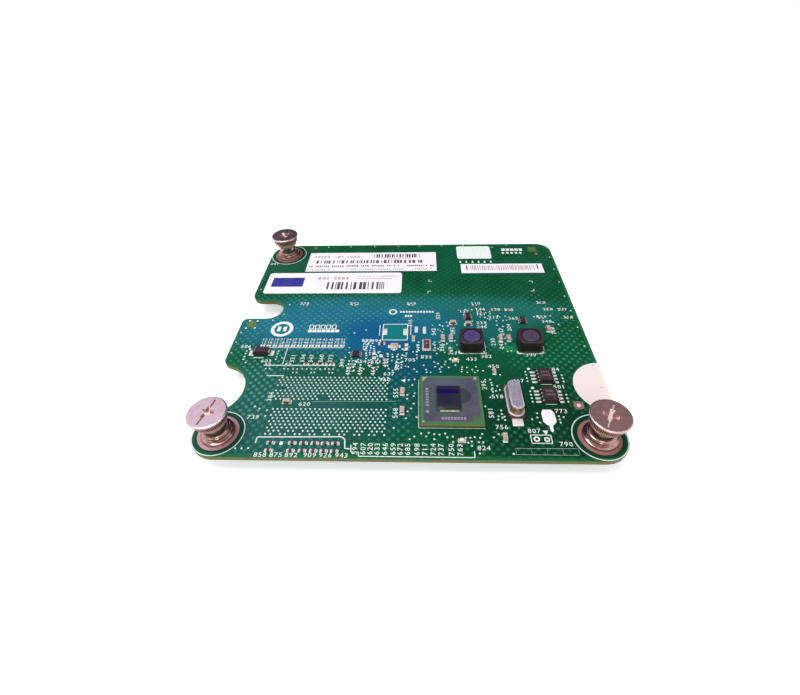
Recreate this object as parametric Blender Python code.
"""Mezzanine network card: a small circuit board held down by three spring-loaded captive screws.

The frame is metric, with +Z up. Its origin is under the centre of the board, in the plane of the
mezzanine connector's mating rim, which is the lowest face. +X runs along the board's long side and
+Y runs from the front edge, where the via fields and the controller are, to the labelled back edge.
"""

import math

import bmesh
import bpy

# Board: a rectangle with three round ears at the screws and two notches in its left edge.
BOARD_WIDTH = 0.1143
BOARD_DEPTH = 0.1016
BOARD_THICKNESS = 0.0016
EAR_RADIUS = 0.00715
PLAIN_CORNER_RADIUS = 0.0055
EDGE_SLOT_SET_BACK = 0.05885
EDGE_SLOT_HALF_WIDTH = 0.00495
EDGE_SLOT_DEPTH = 0.01275
EDGE_SLOT_BACK_ROUND = 0.0040
EDGE_SLOT_FRONT_ROUND = 0.0018
BAY_RADIUS = 0.0096
BAY_ROUND = 0.0030

# Fits: solder or glue film under a part, and the gap round a part that stands in a hole.
SEAT = 0.00002
FIT_GAP = 0.0003

# Retainers, which are pressed into the board and guide the screws.
PILOT_RADIUS = 0.0026
FLANGE_RADIUS = 0.00455
FLANGE_HEIGHT = 0.0013
FLANGE_ROUND = 0.00045
STEP_RADIUS = 0.00375
STEP_HEIGHT = 0.0008
BARREL_WALL = 0.0006
BARREL_HEIGHT = 0.0024
RETAINER_FLOOR = 0.0006
FOOT_RADIUS = 0.0033
FOOT_HEIGHT = 0.0008

# Captive screws, shown lifted by their springs.
THREAD_RADIUS = 0.0015
THREAD_LENGTH = 0.0022
THREAD_CHAMFER = 0.0003
THREAD_GAP = 0.00035
NECK_RADIUS = 0.0011
NECK_GAP = 0.00025
LIP_GAP = 0.0001
SKIRT_GAP = 0.0003
SKIRT_WALL = 0.0007
SKIRT_HEIGHT = 0.0030
SKIRT_CEILING = 0.0005
SKIRT_LIFT = 0.0007
HEAD_RADIUS = 0.0051
HEAD_THICKNESS = 0.0010
HEAD_BEVEL = 0.00018
KNURL_DEPTH = 0.0002

# Driver recess in each head: a long slot and a cross, each with a length, width and depth.
DRIVER_SLOT = (0.0074, 0.0009, 0.0006)
DRIVER_CROSS = (0.0046, 0.0011, 0.0009)
RECESS_TURNS = {"front_left": 75.0, "front_right": 70.0, "back_left": 37.0}

# Springs between the retainer's floor and the ceiling of the screw's skirt.
SPRING_WIRE = 0.0004
SPRING_RUN_GAP = 0.0002
SPRING_END_GAP = 0.00005
SPRING_TURNS = 6
SPRING_DEAD_PITCH = 0.00045

# Mezzanine connector under the two via fields.
CONNECTOR_HEIGHT = 0.0050
CONNECTOR_LENGTH = 0.0376
CONNECTOR_DEPTH = 0.0252
CONNECTOR_FROM_LEFT = 0.03565
CONNECTOR_SET_BACK = 0.0169
CONNECTOR_WALL = 0.0014
CONNECTOR_RIB = 0.0020
WAFER_COUNT = 9
WAFER_THICKNESS = 0.00048
WAFER_BASE = 0.0012
WAFER_RECESS = 0.0004
WAFER_GAP = 0.00015

# Controller package.
CONTROLLER_SIDE = 0.0170
CONTROLLER_THICKNESS = 0.0011
CONTROLLER_BALL_GAP = 0.0004
CONTROLLER_X = 0.0124
CONTROLLER_SET_BACK = 0.0180
DIE_WIDTH = 0.0070
DIE_DEPTH = 0.0080
DIE_THICKNESS = 0.0006

# Power inductors: a shield cup, a drum core in it and a winding on the core.
SHIELD_SIDE = 0.0072
SHIELD_HEIGHT = 0.0043
SHIELD_CORNER = 0.0012
SHIELD_FLOOR = 0.0005
DRUM_RADIUS = 0.0027
DRUM_GAP = 0.0003
DRUM_FLANGE = 0.0006
DRUM_WEB_RADIUS = 0.0013
DRUM_SINK = 0.0001
WINDING_GAP = 0.0001
INDUCTOR_PLACES = {"left": (0.0200, 0.0408), "right": (0.0381, 0.0409)}

# Crystal: an oval can with a welded flange, on a moulded base.
CAN_LENGTH = 0.0102
CAN_WIDTH = 0.0036
CAN_HEIGHT = 0.0029
FLANGE_LIP = 0.0005
FLANGE_PLATE = 0.0004
CRYSTAL_BASE = 0.0007
CRYSTAL_X = 0.0298
CRYSTAL_SET_BACK = 0.0181

# Leads on each side of a moulded package.
MEMORY_LEADS = 4
REGULATOR_LEADS = 3
DIODE_LEADS = 1

# Moulded packages with leads: x, distance from the front edge, body along x and y, height of the
# body, reach of the leads past the body, lead width, lead pitch and leads on each side. LEAD_KNEE is
# how much of its reach a lead runs level before it bends down.
PACKAGES = {
    "memory_back": (0.0403, 0.0273, 0.0039, 0.0049, 0.0015, 0.00105, 0.00042, 0.00127, MEMORY_LEADS),
    "memory_front": (0.0400, 0.0201, 0.0039, 0.0049, 0.0015, 0.00105, 0.00042, 0.00127, MEMORY_LEADS),
    "regulator_left": (0.0202, 0.0544, 0.0016, 0.0029, 0.0010, 0.0006, 0.0004, 0.00095, REGULATOR_LEADS),
    "regulator_right": (0.0382, 0.0524, 0.0016, 0.0029, 0.0010, 0.0006, 0.0004, 0.00095, REGULATOR_LEADS),
}
PACKAGE_STANDOFF = 0.0001
LEAD_THICKNESS = 0.00015
LEAD_KNEE = 0.4

# Packages that belong to the connector's circuits, where x is measured from the connector's centre.
FIELD_PACKAGES = {
    "reset_chip": (0.0054, 0.0364, 0.0024, 0.0024, 0.0008, 0.0006, 0.0003, 0.00065, REGULATOR_LEADS),
    "diode": (-0.02475, 0.0371, 0.0046, 0.0027, 0.0017, 0.0011, 0.0015, 0.0015, DIODE_LEADS),
}

# Small block parts with metal ends: x, distance from the front edge, whether the part lies along x
# or y, and its case.
CASES = {
    "large": (0.0020, 0.00125, 0.0011),
    "medium": (0.0016, 0.0010, 0.0008),
    "small": (0.0015, 0.0008, 0.00045),
}
CASE_END = 0.0004
CASE_WAIST = 0.00004
ROW_BACK = 0.0042
ROW_FRONT = 0.00195
CHIPS = {
    "capacitor_regulator_left": (0.0200, 0.0507, "x", "large"),
    "capacitor_regulator_input": (0.0150, 0.0513, "x", "large"),
    "capacitor_switch": (0.0018, 0.0438, "y", "medium"),
    "capacitor_inductor_1": (0.0113, 0.0438, "y", "large"),
    "capacitor_inductor_2": (0.0139, 0.0438, "y", "large"),
    "capacitor_middle_1": (0.0297, 0.0437, "y", "large"),
    "capacitor_middle_2": (0.0323, 0.0437, "y", "large"),
    "capacitor_regulator_right": (0.0458, 0.0482, "y", "large"),
    "capacitor_crystal": (0.0259, 0.0294, "y", "medium"),
    "capacitor_chip_back": (-0.0012, 0.0215, "y", "large"),
    "capacitor_chip_front": (-0.0011, 0.0148, "y", "large"),
    "capacitor_front": (0.0257, 0.0064, "y", "large"),
}

# The same for the parts round the via fields, where x is measured from the connector's centre.
FIELD_CHIPS = {
    "capacitor_fields": (-0.0123, 0.0176, "x", "large"),
    "resistor_back_1": (-0.0136, ROW_BACK, "x", "small"),
    "resistor_back_2": (-0.0079, ROW_BACK, "x", "small"),
    "resistor_back_3": (-0.0049, ROW_BACK, "x", "small"),
    "resistor_back_4": (-0.0020, ROW_BACK, "x", "small"),
    "resistor_back_5": (0.0007, ROW_BACK, "x", "small"),
    "resistor_back_6": (0.0034, ROW_BACK, "x", "small"),
    "resistor_front_1": (-0.0136, ROW_FRONT, "x", "small"),
    "resistor_front_2": (-0.0079, ROW_FRONT, "x", "small"),
    "resistor_front_3": (-0.0049, ROW_FRONT, "x", "small"),
    "resistor_front_4": (-0.0020, ROW_FRONT, "x", "small"),
    "resistor_front_5": (0.0007, ROW_FRONT, "x", "small"),
    "resistor_front_6": (0.0034, ROW_FRONT, "x", "small"),
}

# Resistor pack and status lamps.
PACK_WIDTH = 0.0016
PACK_DEPTH = 0.0032
PACK_HEIGHT = 0.0006
PACK_X = 0.0060
PACK_SET_BACK = 0.0407
LAMP_LENGTH = 0.0016
LAMP_DEPTH = 0.0012
LAMP_HEIGHT = 0.0007
LAMP_PLACES = {"middle": (0.0147, 0.0339), "front": (0.0146, 0.0054)}

# Paper labels, measured from the back edge. The small one fills the space between the top one and
# the right edge.
LABEL_THICKNESS = 0.00008
LABEL_CORNER = 0.0012
TOP_LABEL_WIDTH = 0.0516
TOP_LABEL_DEPTH = 0.0133
TOP_LABEL_FROM_LEFT = 0.0161
TOP_LABEL_FROM_BACK = 0.0061
MAIN_LABEL_WIDTH = 0.0515
MAIN_LABEL_DEPTH = 0.0130
MAIN_LABEL_FROM_LEFT = 0.0028
LABEL_SPACE = 0.0011
SMALL_LABEL_SPACE = 0.0095
SMALL_LABEL_DEPTH = 0.0062
SMALL_LABEL_FROM_RIGHT = 0.0056
SMALL_LABEL_FROM_BACK = 0.0149

# Points closer than this are one point, and the facets on round parts.
MERGE = 1e-7
RETAINER_FACETS = 30
SCREW_FACETS = 40
DRUM_FACETS = 24
SPRING_FACETS = 10
ARC_STEP = 15.0
FILLET_STEP = 30.0

# Levels and places that follow from the sizes above.
HALF_WIDTH = BOARD_WIDTH / 2
HALF_DEPTH = BOARD_DEPTH / 2
BOARD_BASE = CONNECTOR_HEIGHT
CONNECTOR_X = -HALF_WIDTH + CONNECTOR_FROM_LEFT
BOARD_TOP = BOARD_BASE + BOARD_THICKNESS
BARREL_RADIUS = THREAD_RADIUS + THREAD_GAP + 2 * BARREL_WALL
BORE_RADIUS = BARREL_RADIUS - BARREL_WALL
BARREL_TOP = BOARD_TOP + SEAT + FLANGE_HEIGHT + STEP_HEIGHT + BARREL_HEIGHT
LIP_BASE = BOARD_TOP + SEAT
LIP_TOP = LIP_BASE + RETAINER_FLOOR
SKIRT_INNER = BARREL_RADIUS + SKIRT_GAP
SKIRT_RADIUS = SKIRT_INNER + SKIRT_WALL
SKIRT_BASE = BARREL_TOP + SKIRT_LIFT
HEAD_BASE = SKIRT_BASE + SKIRT_HEIGHT
HEAD_TOP = HEAD_BASE + HEAD_THICKNESS
CEILING = HEAD_BASE - SKIRT_CEILING
SCREW_PLACES = {
    "front_left": (-HALF_WIDTH + EAR_RADIUS, -HALF_DEPTH + EAR_RADIUS),
    "front_right": (HALF_WIDTH - EAR_RADIUS, -HALF_DEPTH + EAR_RADIUS),
    "back_left": (-HALF_WIDTH + EAR_RADIUS, HALF_DEPTH - EAR_RADIUS),
}


def clear_scene():
    """Remove every object, so that the script can be run again in an open file."""
    for old in list(bpy.data.objects):
        bpy.data.objects.remove(old, do_unlink=True)


def material(name, colour, roughness, metallic=0.0):
    """One Principled material."""
    made = bpy.data.materials.new(name)
    made.use_nodes = True
    shader = made.node_tree.nodes["Principled BSDF"]
    shader.inputs["Base Color"].default_value = (*colour, 1.0)
    shader.inputs["Roughness"].default_value = roughness
    shader.inputs["Metallic"].default_value = metallic
    return made


def add_mesh(name, bm, finish, smooth=False):
    """Turn a bmesh into a named object with its material."""
    mesh = bpy.data.meshes.new(name)
    bmesh.ops.recalc_face_normals(bm, faces=bm.faces)
    bm.to_mesh(mesh)
    bm.free()
    mesh.materials.append(finish)
    if smooth:
        mesh.shade_smooth()
        mesh.set_sharp_from_angle(angle=math.radians(35.0))
    made = bpy.data.objects.new(name, mesh)
    bpy.context.collection.objects.link(made)
    return made


def arc(centre, radius, start, end, step=ARC_STEP):
    """Points on an arc, with angles in degrees, at most one step apart."""
    steps = max(2, math.ceil(abs(end - start) / step))
    points = []
    for i in range(steps + 1):
        angle = math.radians(start + (end - start) * i / steps)
        points.append((centre[0] + radius * math.cos(angle), centre[1] + radius * math.sin(angle)))
    return points


def prism(outline, low, high):
    """A flat outline, drawn anticlockwise, extruded from one level to another."""
    bm = bmesh.new()
    corners = [point for i, point in enumerate(outline) if math.dist(point, outline[i - 1]) > MERGE]
    floor = bm.faces.new([bm.verts.new((x, y, low)) for x, y in corners])
    grown = bmesh.ops.extrude_face_region(bm, geom=[floor])
    top = [item for item in grown["geom"] if isinstance(item, bmesh.types.BMVert)]
    bmesh.ops.translate(bm, verts=top, vec=(0.0, 0.0, high - low))
    return bm


def rectangle(width, depth, corner=0.0, centre=(0.0, 0.0)):
    """A rectangle's outline, with round corners where corner is more than nothing."""
    x = width / 2 - corner
    y = depth / 2 - corner
    corners = [((x, y), 0.0), ((-x, y), 90.0), ((-x, -y), 180.0), ((x, -y), 270.0)]
    points = []
    for (cx, cy), start in corners:
        place = (centre[0] + cx, centre[1] + cy)
        if corner > 0.0:
            points += arc(place, corner, start, start + 90.0)
        else:
            points.append(place)
    return points


def turned(profile, facets):
    """A closed profile of radius and height points, spun once round the Z axis."""
    bm = bmesh.new()
    verts = [bm.verts.new((radius, 0.0, height)) for radius, height in profile]
    edges = [bm.edges.new((verts[i], verts[(i + 1) % len(verts)])) for i in range(len(verts))]
    bmesh.ops.spin(
        bm,
        geom=verts + edges,
        cent=(0.0, 0.0, 0.0),
        axis=(0.0, 0.0, 1.0),
        angle=math.tau,
        steps=facets,
        use_merge=True,
    )
    bmesh.ops.remove_doubles(bm, verts=bm.verts, dist=MERGE)
    loose = [edge for edge in bm.edges if not edge.link_faces]
    bmesh.ops.delete(bm, geom=loose, context="EDGES")
    return bm


def cut(target, cutter, name, operation="DIFFERENCE"):
    """Apply a hidden operand to an object with an exact Boolean."""
    cutter.hide_render = True
    cutter.display_type = "WIRE"
    modifier = target.modifiers.new(name, "BOOLEAN")
    modifier.operation = operation
    modifier.object = cutter


def board_outline():
    """The board's edge, anticlockwise from the front-left ear."""
    left = -HALF_WIDTH
    front_left = SCREW_PLACES["front_left"]
    bay_reach = BAY_RADIUS + EAR_RADIUS
    bay_y = front_left[1] + math.sqrt(bay_reach**2 - EAR_RADIUS**2)
    bay = (left, bay_y)
    meet = math.degrees(math.atan2(bay_y - front_left[1], left - front_left[0]))
    round_y = bay_y + math.sqrt((BAY_RADIUS + BAY_ROUND) ** 2 - BAY_ROUND**2)
    bay_round = (left + BAY_ROUND, round_y)
    leave = math.degrees(math.atan2(round_y - bay_y, BAY_ROUND))
    slot_y = -HALF_DEPTH + EDGE_SLOT_SET_BACK
    slot_end = (left + EDGE_SLOT_DEPTH - EDGE_SLOT_HALF_WIDTH, slot_y)
    slot_front = (left + EDGE_SLOT_FRONT_ROUND, slot_y - EDGE_SLOT_HALF_WIDTH - EDGE_SLOT_FRONT_ROUND)
    slot_back = (left + EDGE_SLOT_BACK_ROUND, slot_y + EDGE_SLOT_HALF_WIDTH + EDGE_SLOT_BACK_ROUND)
    plain = (HALF_WIDTH - PLAIN_CORNER_RADIUS, HALF_DEPTH - PLAIN_CORNER_RADIUS)
    points = arc(front_left, EAR_RADIUS, 180.0, 270.0)
    points += arc(SCREW_PLACES["front_right"], EAR_RADIUS, 270.0, 360.0)
    points += arc(plain, PLAIN_CORNER_RADIUS, 0.0, 90.0)
    points += arc(SCREW_PLACES["back_left"], EAR_RADIUS, 90.0, 180.0)
    points += arc(slot_back, EDGE_SLOT_BACK_ROUND, 180.0, 270.0)
    points += arc(slot_end, EDGE_SLOT_HALF_WIDTH, 90.0, -90.0)
    points += arc(slot_front, EDGE_SLOT_FRONT_ROUND, 90.0, 180.0)
    points += arc(bay_round, BAY_ROUND, 180.0, 180.0 + leave)
    points += arc(bay, BAY_RADIUS, leave, meet - 180.0)[1:]
    points += arc(front_left, EAR_RADIUS, meet, 180.0)[1:-1]
    return points


def make_board(finish):
    """Glass-fibre laminate, routed to shape, with a hole for each retainer."""
    board = add_mesh("circuit_board", prism(board_outline(), BOARD_BASE, BOARD_TOP), finish)
    for place, (x, y) in SCREW_PLACES.items():
        ring = arc((x, y), PILOT_RADIUS + FIT_GAP, 0.0, 360.0)
        bore = prism(ring, BOARD_BASE - FIT_GAP, BOARD_TOP + FIT_GAP)
        drill = add_mesh("cutter_hole_" + place, bore, finish)
        cut(board, drill, "hole_" + place)


def retainer_profile():
    """Half section of a retainer, from its foot up its outside and down its bore."""
    foot_low = BOARD_BASE - SEAT - FOOT_HEIGHT
    foot_high = BOARD_BASE - SEAT
    flange_top = LIP_BASE + FLANGE_HEIGHT
    step_top = flange_top + STEP_HEIGHT
    round_centre = (FLANGE_RADIUS - FLANGE_ROUND, flange_top - FLANGE_ROUND)
    relief = THREAD_RADIUS + THREAD_GAP
    points = [(relief, foot_low), (FOOT_RADIUS, foot_low), (FOOT_RADIUS, foot_high)]
    points += [(PILOT_RADIUS, foot_high), (PILOT_RADIUS, LIP_BASE), (FLANGE_RADIUS, LIP_BASE)]
    points += arc(round_centre, FLANGE_ROUND, 0.0, 90.0, FILLET_STEP)
    points += [(STEP_RADIUS, flange_top), (STEP_RADIUS, step_top), (BARREL_RADIUS, step_top)]
    points += [(BARREL_RADIUS, BARREL_TOP), (BORE_RADIUS, BARREL_TOP), (BORE_RADIUS, LIP_TOP)]
    points += [(NECK_RADIUS + NECK_GAP, LIP_TOP), (NECK_RADIUS + NECK_GAP, LIP_BASE), (relief, LIP_BASE)]
    return points


def screw_profile():
    """Half section of a captive screw: thread, neck, hollow skirt and flat head."""
    thread_top = LIP_BASE - LIP_GAP
    tip = thread_top - THREAD_LENGTH
    points = [(0.0, tip), (THREAD_RADIUS - THREAD_CHAMFER, tip), (THREAD_RADIUS, tip + THREAD_CHAMFER)]
    points += [(THREAD_RADIUS, thread_top), (NECK_RADIUS, thread_top), (NECK_RADIUS, CEILING)]
    points += [(SKIRT_INNER, CEILING), (SKIRT_INNER, SKIRT_BASE), (SKIRT_RADIUS, SKIRT_BASE)]
    points += [(SKIRT_RADIUS, HEAD_BASE), (HEAD_RADIUS - HEAD_BEVEL, HEAD_BASE)]
    points += [(HEAD_RADIUS, HEAD_BASE + HEAD_BEVEL), (HEAD_RADIUS, HEAD_TOP - HEAD_BEVEL)]
    points += [(HEAD_RADIUS - HEAD_BEVEL, HEAD_TOP), (0.0, HEAD_TOP)]
    return points


def knurl(bm):
    """Press a groove into every second column of points on the skirt's outside."""
    grip = SKIRT_RADIUS - SKIRT_WALL / 2
    for vert in bm.verts:
        radius = math.hypot(vert.co.x, vert.co.y)
        outside = grip < radius < SKIRT_RADIUS + KNURL_DEPTH
        column = round(math.atan2(vert.co.y, vert.co.x) / math.tau * SCREW_FACETS)
        if outside and column % 2:
            vert.co.x *= (SKIRT_RADIUS - KNURL_DEPTH) / radius
            vert.co.y *= (SKIRT_RADIUS - KNURL_DEPTH) / radius


def cut_recess(screw, name, size, turn):
    """Cut one bar of the driver recess, of a length, width and depth, into a screw's head."""
    length, width, depth = size
    finish = screw.data.materials[0]
    bar = add_mesh("cutter_" + name, prism(rectangle(length, width), -depth, FIT_GAP), finish)
    bar.location = (screw.location.x, screw.location.y, HEAD_TOP)
    bar.rotation_euler = (0.0, 0.0, math.radians(turn))
    cut(screw, bar, name)


def make_spring(name, place, finish):
    """A coil of round wire with a closed turn at each end."""
    low = LIP_TOP + SPRING_END_GAP + SPRING_WIRE / 2
    high = CEILING - SPRING_END_GAP - SPRING_WIRE / 2
    coil = BORE_RADIUS - SPRING_RUN_GAP - SPRING_WIRE / 2
    open_pitch = (high - low - 2 * SPRING_DEAD_PITCH) / (SPRING_TURNS - 2)
    count = SPRING_TURNS * SPRING_FACETS
    curve = bpy.data.curves.new(name, "CURVE")
    curve.dimensions = "3D"
    curve.bevel_depth = SPRING_WIRE / 2
    curve.bevel_resolution = 1
    curve.use_fill_caps = True
    wire = curve.splines.new("POLY")
    wire.points.add(count)
    for i in range(count + 1):
        turn = i / SPRING_FACETS
        dead = min(turn, 1.0) + max(turn - SPRING_TURNS + 1.0, 0.0)
        height = low + dead * SPRING_DEAD_PITCH + (turn - dead) * open_pitch
        angle = turn * math.tau
        wire.points[i].co = (coil * math.cos(angle), coil * math.sin(angle), height, 1.0)
    curve.materials.append(finish)
    made = bpy.data.objects.new(name, curve)
    made.location = (place[0], place[1], 0.0)
    bpy.context.collection.objects.link(made)


def make_fasteners(steel, nickel, wire):
    """The three retainers, each with its screw and spring, on their own axes."""
    for place, (x, y) in SCREW_PLACES.items():
        retainer = add_mesh("retainer_" + place, turned(retainer_profile(), RETAINER_FACETS), steel, True)
        retainer.location = (x, y, 0.0)
        body = turned(screw_profile(), SCREW_FACETS)
        knurl(body)
        screw = add_mesh("captive_screw_" + place, body, nickel, True)
        screw.location = (x, y, 0.0)
        turn = RECESS_TURNS[place]
        cut_recess(screw, "slot_" + place, DRIVER_SLOT, turn)
        cut_recess(screw, "cross_along_" + place, DRIVER_CROSS, turn)
        cut_recess(screw, "cross_over_" + place, DRIVER_CROSS, turn + 90.0)
        make_spring("spring_" + place, (x, y), wire)


def make_connector(plastic, wafer):
    """The connector's frame and its two packs of contact wafers, under the board."""
    top = BOARD_BASE - SEAT
    centre = (CONNECTOR_X, -HALF_DEPTH + CONNECTOR_SET_BACK)
    frame = prism(rectangle(CONNECTOR_LENGTH, CONNECTOR_DEPTH, CONNECTOR_WALL / 2, centre), 0.0, top)
    housing = add_mesh("connector_housing", frame, plastic)
    window_length = CONNECTOR_LENGTH - 2 * CONNECTOR_WALL
    window_depth = (CONNECTOR_DEPTH - 2 * CONNECTOR_WALL - CONNECTOR_RIB) / 2
    for place, side in (("front", -1.0), ("back", 1.0)):
        y = centre[1] + side * (window_depth + CONNECTOR_RIB) / 2
        window = prism(rectangle(window_length, window_depth, 0.0, (centre[0], y)), -FIT_GAP, top + FIT_GAP)
        cut(housing, add_mesh("cutter_window_" + place, window, plastic), "window_" + place)
        make_wafers("connector_contacts_" + place, (centre[0], y), window_length, window_depth, wafer)


def make_wafers(name, centre, window_length, window_depth, finish):
    """A pack of contact wafers: upright blades on one carrier strip, drawn from the side."""
    depth = window_depth - 2 * WAFER_GAP
    pitch = (depth - WAFER_THICKNESS) / (WAFER_COUNT - 1)
    top = BOARD_BASE - SEAT
    root = top - WAFER_BASE
    blades = []
    for i in range(WAFER_COUNT):
        right = depth / 2 - i * pitch
        left = right - WAFER_THICKNESS
        blades += [(right, root), (right, WAFER_RECESS), (left, WAFER_RECESS), (left, root)]
    # The outermost roots lie on the comb's straight sides and need no corner.
    outline = [(-depth / 2, top), (depth / 2, top)] + blades[1:-1]
    bm = bmesh.new()
    start = centre[0] - window_length / 2 + WAFER_GAP
    side = bm.faces.new([bm.verts.new((start, centre[1] + y, z)) for y, z in outline])
    grown = bmesh.ops.extrude_face_region(bm, geom=[side])
    far = [item for item in grown["geom"] if isinstance(item, bmesh.types.BMVert)]
    bmesh.ops.translate(bm, verts=far, vec=(window_length - 2 * WAFER_GAP, 0.0, 0.0))
    add_mesh(name, bm, finish)


def make_controller(laminate, silicon):
    """The controller's package, which stands on solder balls, and the bare die on top."""
    centre = (CONTROLLER_X, -HALF_DEPTH + CONTROLLER_SET_BACK)
    low = BOARD_TOP + CONTROLLER_BALL_GAP
    high = low + CONTROLLER_THICKNESS
    body = prism(rectangle(CONTROLLER_SIDE, CONTROLLER_SIDE, 0.0, centre), low, high)
    add_mesh("controller_substrate", body, laminate)
    die = prism(rectangle(DIE_WIDTH, DIE_DEPTH, 0.0, centre), high + SEAT, high + SEAT + DIE_THICKNESS)
    add_mesh("controller_die", die, silicon)


def make_inductors(ferrite, drum_grey, copper):
    """Two shielded power inductors."""
    floor = BOARD_TOP + SEAT
    top = floor + SHIELD_HEIGHT
    bore = DRUM_RADIUS + DRUM_GAP
    base = floor + SHIELD_FLOOR + SEAT
    crown = top - DRUM_SINK
    low_flange = base + DRUM_FLANGE
    high_flange = crown - DRUM_FLANGE
    drum = [(0.0, base), (DRUM_RADIUS, base), (DRUM_RADIUS, low_flange), (DRUM_WEB_RADIUS, low_flange)]
    drum += [(DRUM_WEB_RADIUS, high_flange), (DRUM_RADIUS, high_flange), (DRUM_RADIUS, crown), (0.0, crown)]
    inner = DRUM_WEB_RADIUS + WINDING_GAP
    outer = DRUM_RADIUS - WINDING_GAP
    coil = [(inner, low_flange + WINDING_GAP), (outer, low_flange + WINDING_GAP)]
    coil += [(outer, high_flange - WINDING_GAP), (inner, high_flange - WINDING_GAP)]
    for place, (x, set_back) in INDUCTOR_PLACES.items():
        centre = (x, -HALF_DEPTH + set_back)
        block = prism(rectangle(SHIELD_SIDE, SHIELD_SIDE, SHIELD_CORNER, centre), floor, top)
        shield = add_mesh("inductor_shield_" + place, block, ferrite)
        well = prism(arc(centre, bore, 0.0, 360.0), floor + SHIELD_FLOOR, top + FIT_GAP)
        cut(shield, add_mesh("cutter_well_" + place, well, ferrite), "well")
        core = add_mesh("inductor_core_" + place, turned(drum, DRUM_FACETS), drum_grey, True)
        core.location = (*centre, 0.0)
        winding = add_mesh("inductor_winding_" + place, turned(coil, DRUM_FACETS), copper, True)
        winding.location = (*centre, 0.0)


def make_crystal(metal, plastic):
    """The crystal's can and flange, one drawn shell here, on its moulded base."""
    centre = (CRYSTAL_X, -HALF_DEPTH + CRYSTAL_SET_BACK)
    base_low = BOARD_TOP + SEAT
    base_high = base_low + CRYSTAL_BASE
    flange_low = base_high + SEAT
    flange_high = flange_low + FLANGE_PLATE
    lip = 2 * FLANGE_LIP
    plate_size = (CAN_WIDTH + lip, CAN_LENGTH + lip)
    plate = prism(rectangle(*plate_size, plate_size[0] / 2, centre), flange_low, flange_high)
    can = add_mesh("crystal_can", plate, metal, True)
    shell_top = flange_high + CAN_HEIGHT
    middle = (flange_low + flange_high) / 2
    shell = prism(rectangle(CAN_WIDTH, CAN_LENGTH, CAN_WIDTH / 2, centre), middle, shell_top)
    cut(can, add_mesh("operand_can", shell, metal), "shell", "UNION")
    base = prism(rectangle(*plate_size, FLANGE_LIP, centre), base_low, base_high)
    add_mesh("crystal_base", base, plastic)


def lead_outline(half_body, low, high, reach):
    """Side view of a lead strip that runs through a package and steps down to the board."""
    tip = half_body + reach
    knee = half_body + reach * LEAD_KNEE
    root = (low + high) / 2 + LEAD_THICKNESS / 2
    seat = BOARD_TOP + SEAT
    t = LEAD_THICKNESS
    right = [(knee - t, root - t), (knee - t, seat), (tip, seat)]
    right += [(tip, seat + t), (knee, seat + t), (knee, root)]
    left = [(-x, z) for x, z in reversed(right)]
    return right + left


def make_package(name, size, datum, finish):
    """A moulded body with gull-wing leads, made one solid by a union with its lead strips."""
    offset, set_back, width, depth, height, reach, lead_width, pitch, leads = size
    x = datum + offset
    y = -HALF_DEPTH + set_back
    low = BOARD_TOP + PACKAGE_STANDOFF
    high = low + height
    body = add_mesh(name, prism(rectangle(width, depth, 0.0, (x, y)), low, high), finish)
    outline = lead_outline(width / 2, low, high, reach)
    strips = bmesh.new()
    for i in range(leads):
        near = y + (i - (leads - 1) / 2) * pitch - lead_width / 2
        side = strips.faces.new([strips.verts.new((x + px, near, pz)) for px, pz in outline])
        grown = bmesh.ops.extrude_face_region(strips, geom=[side])
        far = [item for item in grown["geom"] if isinstance(item, bmesh.types.BMVert)]
        bmesh.ops.translate(strips, verts=far, vec=(0.0, lead_width, 0.0))
    cut(body, add_mesh("operand_leads_" + name, strips, finish), "leads", "UNION")


def make_chip(name, place, datum, finish):
    """A small ceramic block whose metal ends stand a little proud of its waist."""
    offset, set_back, along, case = place
    x = datum + offset
    length, width, height = CASES[case]
    half = length / 2
    side = width / 2
    waist = half - CASE_END
    slim = side - CASE_WAIST
    outline = [(half, -side), (half, side), (waist, side), (waist, slim)]
    outline += [(-waist, slim), (-waist, side), (-half, side), (-half, -side)]
    outline += [(-waist, -side), (-waist, -slim), (waist, -slim), (waist, -side)]
    if along == "y":
        outline = [(-py, px) for px, py in outline]
    y = -HALF_DEPTH + set_back
    outline = [(x + px, y + py) for px, py in outline]
    add_mesh(name, prism(outline, BOARD_TOP + SEAT, BOARD_TOP + SEAT + height), finish)


def make_block(name, centre, size, corner, finish):
    """A plain moulded block or a paper label, seated on the board."""
    width, depth, height = size
    low = BOARD_TOP + SEAT
    add_mesh(name, prism(rectangle(width, depth, corner, centre), low, low + height), finish)


def make_labels(paper):
    """Three printed labels, the upper two lined up one under the other."""
    size = (TOP_LABEL_WIDTH, TOP_LABEL_DEPTH, LABEL_THICKNESS)
    x = -HALF_WIDTH + TOP_LABEL_FROM_LEFT + TOP_LABEL_WIDTH / 2
    y = HALF_DEPTH - TOP_LABEL_FROM_BACK - TOP_LABEL_DEPTH / 2
    make_block("label_top", (x, y), size, 0.0, paper)
    y -= TOP_LABEL_DEPTH / 2 + LABEL_SPACE + MAIN_LABEL_DEPTH / 2
    size = (MAIN_LABEL_WIDTH, MAIN_LABEL_DEPTH, LABEL_THICKNESS)
    x = -HALF_WIDTH + MAIN_LABEL_FROM_LEFT + MAIN_LABEL_WIDTH / 2
    make_block("label_main", (x, y), size, LABEL_CORNER, paper)
    left = -HALF_WIDTH + TOP_LABEL_FROM_LEFT + TOP_LABEL_WIDTH + SMALL_LABEL_SPACE
    right = HALF_WIDTH - SMALL_LABEL_FROM_RIGHT
    size = (right - left, SMALL_LABEL_DEPTH, LABEL_THICKNESS)
    x = (left + right) / 2
    y = HALF_DEPTH - SMALL_LABEL_FROM_BACK - SMALL_LABEL_DEPTH / 2
    make_block("label_small", (x, y), size, 0.0, paper)


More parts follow.
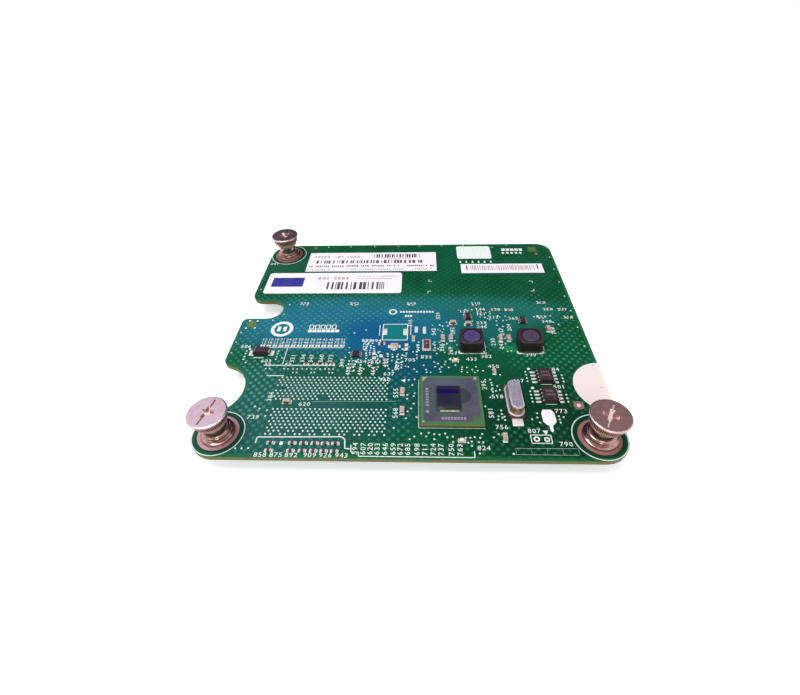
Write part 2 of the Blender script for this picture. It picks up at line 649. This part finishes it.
clear_scene()
mask_green = material("green_solder_mask", (0.01, 0.16, 0.10), 0.35)
retainer_steel = material("plated_steel", (0.55, 0.45, 0.43), 0.30, 1.0)
screw_nickel = material("nickel", (0.66, 0.60, 0.60), 0.25, 1.0)
spring_steel = material("spring_steel", (0.45, 0.43, 0.42), 0.35, 1.0)
connector_black = material("black_moulding", (0.02, 0.02, 0.022), 0.45)
wafer_grey = material("contact_wafer", (0.10, 0.09, 0.08), 0.45)
package_laminate = material("package_laminate", (0.20, 0.18, 0.22), 0.40)
die_silicon = material("die_silicon", (0.01, 0.015, 0.05), 0.10)
ferrite_black = material("ferrite", (0.03, 0.026, 0.03), 0.55)
drum_grey = material("drum_ferrite", (0.10, 0.08, 0.14), 0.45)
winding_copper = material("enamelled_copper", (0.50, 0.20, 0.08), 0.40, 1.0)
can_metal = material("can_metal", (0.50, 0.44, 0.52), 0.30, 1.0)
package_black = material("package_black", (0.06, 0.04, 0.045), 0.50)
chip_ceramic = material("chip_ceramic", (0.45, 0.30, 0.22), 0.45)
lamp_cream = material("lamp_cream", (0.85, 0.75, 0.60), 0.40)
label_paper = material("label_paper", (0.90, 0.86, 0.90), 0.55)

make_board(mask_green)
make_fasteners(retainer_steel, screw_nickel, spring_steel)
make_connector(connector_black, wafer_grey)
make_controller(package_laminate, die_silicon)
make_inductors(ferrite_black, drum_grey, winding_copper)
make_crystal(can_metal, connector_black)
for package_name, package_size in PACKAGES.items():
    make_package(package_name, package_size, 0.0, package_black)
for package_name, package_size in FIELD_PACKAGES.items():
    make_package(package_name, package_size, CONNECTOR_X, package_black)
for chip_name, chip_place in CHIPS.items():
    make_chip(chip_name, chip_place, 0.0, chip_ceramic)
for chip_name, chip_place in FIELD_CHIPS.items():
    make_chip(chip_name, chip_place, CONNECTOR_X, chip_ceramic)
pack_place = (PACK_X, -HALF_DEPTH + PACK_SET_BACK)
make_block("resistor_pack", pack_place, (PACK_WIDTH, PACK_DEPTH, PACK_HEIGHT), 0.0, package_black)
for lamp, (lamp_x, lamp_set_back) in LAMP_PLACES.items():
    lamp_size = (LAMP_LENGTH, LAMP_DEPTH, LAMP_HEIGHT)
    make_block("status_lamp_" + lamp, (lamp_x, -HALF_DEPTH + lamp_set_back), lamp_size, 0.0, lamp_cream)
make_labels(label_paper)
